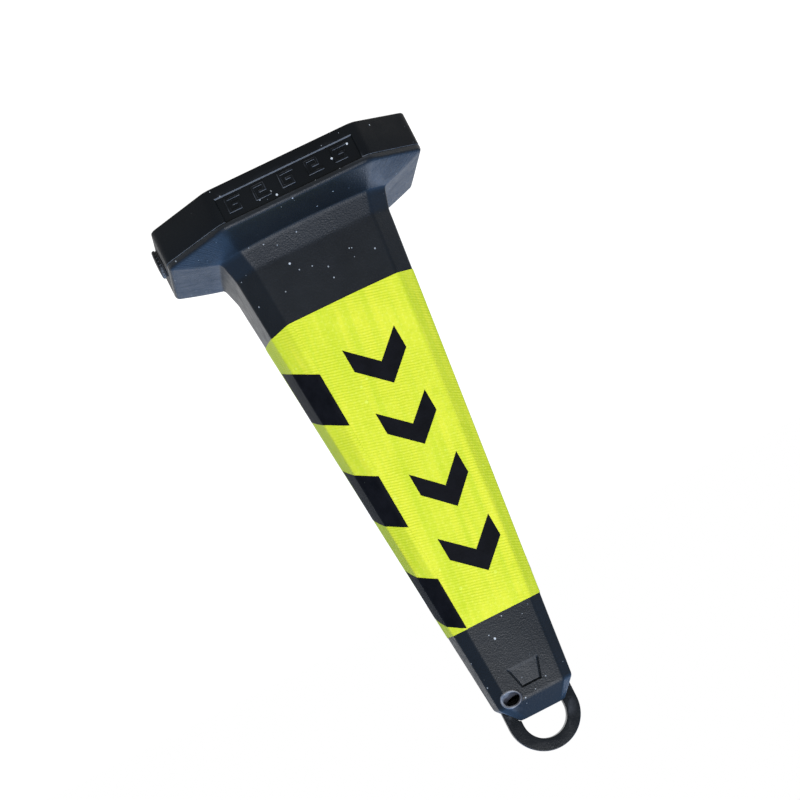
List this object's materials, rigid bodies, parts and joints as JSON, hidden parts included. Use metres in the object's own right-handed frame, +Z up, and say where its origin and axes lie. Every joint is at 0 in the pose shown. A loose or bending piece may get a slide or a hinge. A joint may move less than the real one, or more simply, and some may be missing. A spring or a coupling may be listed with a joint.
{
  "type": "road cone",
  "caption": "Square road cone with chamfered corners, weighted octagonal base, reflective sheeting, lifting ring, rope eyelets and a screw-in filler plug.",
  "frame": {"origin": "on the floor under the cone's axis, at the bottom centre of the bounding box to within the filler plug's overhang", "axes": "+Z up through the lifting ring, the marked front face towards -Y, the filler plug towards +X"},
  "size_m": [0.3144, 0.308, 0.7],
  "materials": {
    "black_shell": "fine moulded grain, satin",
    "black_base": "moulded, matte",
    "black_ring": "moulded, semi-gloss",
    "black_rubber": "matte",
    "yellow_sheeting": "fluorescent yellow-green prismatic reflective film",
    "grey_ballast": "rough cast",
    "zinc_steel": "zinc plated"
  },
  "bodies": {
    "base": {"cone_shell": "black_shell", "base_tray": "black_base", "ballast_block": "grey_ballast", "lift_ring": "black_ring", "ring_cross_pin": "zinc_steel", "sheet_front": "yellow_sheeting", "sheet_right": "yellow_sheeting", "sheet_back": "yellow_sheeting", "sheet_left": "yellow_sheeting", "rope_eyelet_front": "black_rubber", "rope_eyelet_rear": "black_rubber", "foot_pad_1": "black_rubber", "foot_pad_2": "black_rubber", "foot_pad_3": "black_rubber", "foot_pad_4": "black_rubber", "base_screw_1": "zinc_steel", "base_screw_2": "zinc_steel", "base_screw_3": "zinc_steel", "base_screw_4": "zinc_steel"},
    "gasket": {"plug_gasket": "black_rubber"},
    "plug": {"filler_plug": "black_base"}
  },
  "joints": [
    {"name": "plug_turn", "type": "hinge", "parent": "base", "child": "gasket", "pos_m": [0.154, 0, 0.0195], "axis": [1, 0, 0], "range_deg": [0, 1440]},
    {"name": "plug_travel", "type": "slide", "parent": "gasket", "child": "plug", "axis": [1, 0, 0], "range_m": [0, 0.012]}
  ],
  "couplings": [
    {"joint": "plug_travel", "follows": "plug_turn", "m_per_rad": 0.00047746}
  ]
}
